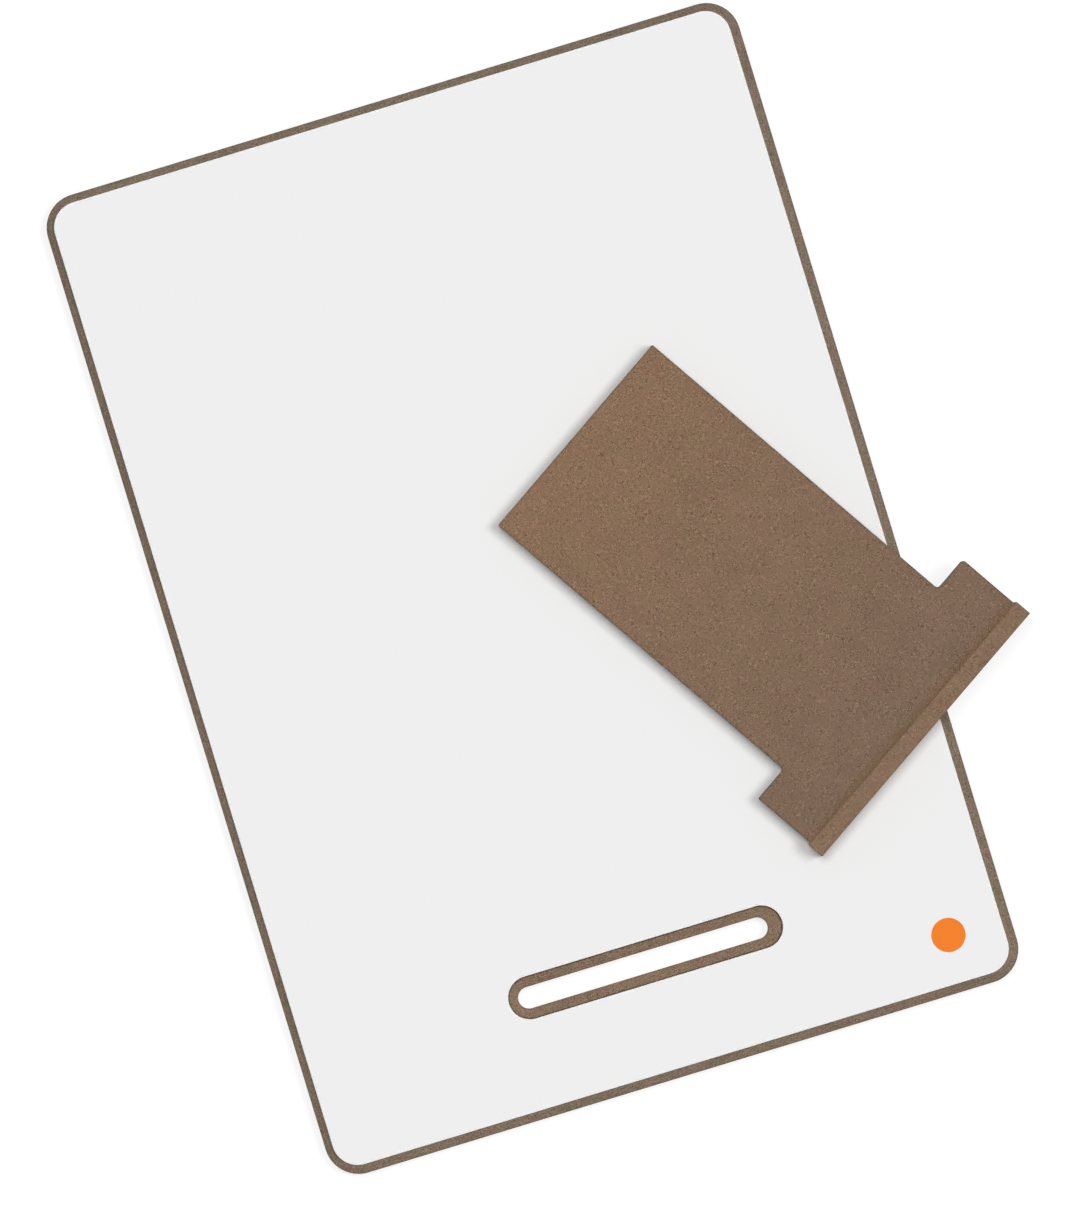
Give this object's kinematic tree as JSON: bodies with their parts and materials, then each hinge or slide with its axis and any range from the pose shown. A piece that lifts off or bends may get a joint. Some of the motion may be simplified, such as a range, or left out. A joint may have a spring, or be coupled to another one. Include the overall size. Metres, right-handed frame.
{
  "type": "mini whiteboard",
  "caption": "Flat dry-erase board with a long slot near its lower edge and a loose T-shaped stand with a pen lip, which lies on the writing face.",
  "frame": {"origin": "centre of the board's back face, on the surface that the board lies on", "axes": "+X across the board to the right, +Y up the board towards its top edge, +Z out of the writing face"},
  "size_m": [0.2411, 0.297, 0.0134],
  "materials": {
    "fibreboard": "matt, bare, finely speckled",
    "white_laminate": "smooth satin, dry-erase",
    "balancing_sheet": "matt, fine grained",
    "orange_vinyl": "satin print"
  },
  "bodies": {
    "board": {"board_core": "fibreboard", "writing_face": "white_laminate", "back_sheet": "balancing_sheet", "corner_dot": "orange_vinyl"},
    "stand": {"stand_plate": "fibreboard", "pen_lip": "fibreboard"}
  },
  "joints": [
    {"name": "stand_lift", "type": "slide", "parent": "board", "child": "stand", "axis": [0, 0, 1], "range_m": [0, 0.16]}
  ]
}
